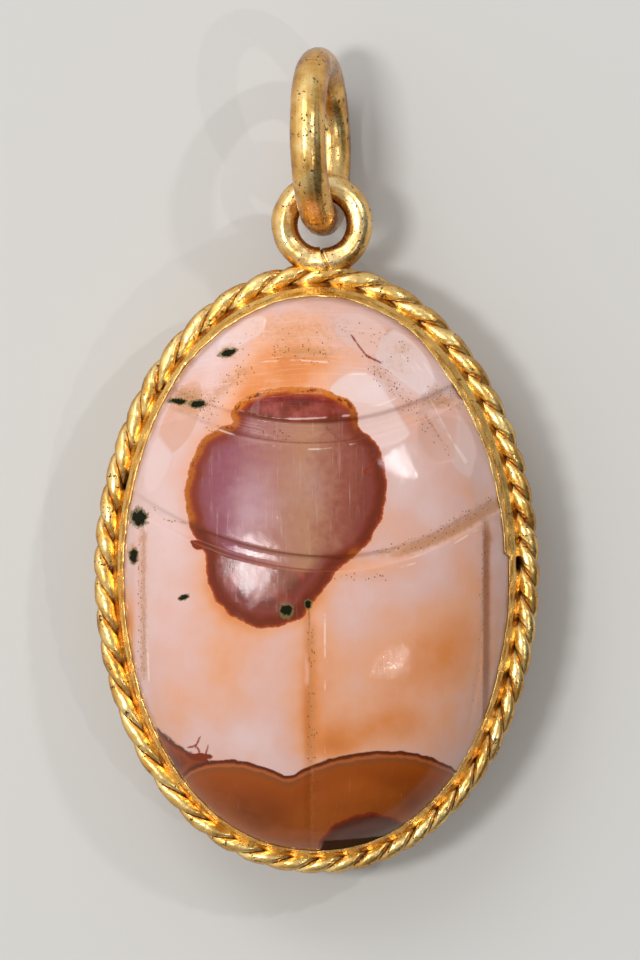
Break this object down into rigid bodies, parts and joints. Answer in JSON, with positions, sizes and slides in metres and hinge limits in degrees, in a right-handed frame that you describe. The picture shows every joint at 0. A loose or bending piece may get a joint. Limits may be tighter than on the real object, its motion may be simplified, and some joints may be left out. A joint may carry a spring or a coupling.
{
  "type": "scarab amulet",
  "caption": "Carved agate scarab in a gold pendant mount: collar, twisted wire border, suspension eye and loose jump ring. Lies on its flat base.",
  "frame": {"origin": "centre of the stone's flat base, on the surface the amulet lies on", "axes": "+Z out of the beetle's back, +Y from the tail past the head to the jump ring, +X to the right seen from above with the ring at the top"},
  "size_m": [0.0186, 0.0344, 0.0093],
  "materials": {
    "agate": "polished",
    "collar_gold": "satin",
    "border_gold": "satin",
    "eye_gold": "satin",
    "ring_gold": "satin"
  },
  "bodies": {
    "root": {"scarab_stone": "agate", "bezel_collar": "collar_gold", "twisted_wire_border": "border_gold", "suspension_eye": "eye_gold", "jump_ring": "ring_gold"}
  },
  "joints": []
}
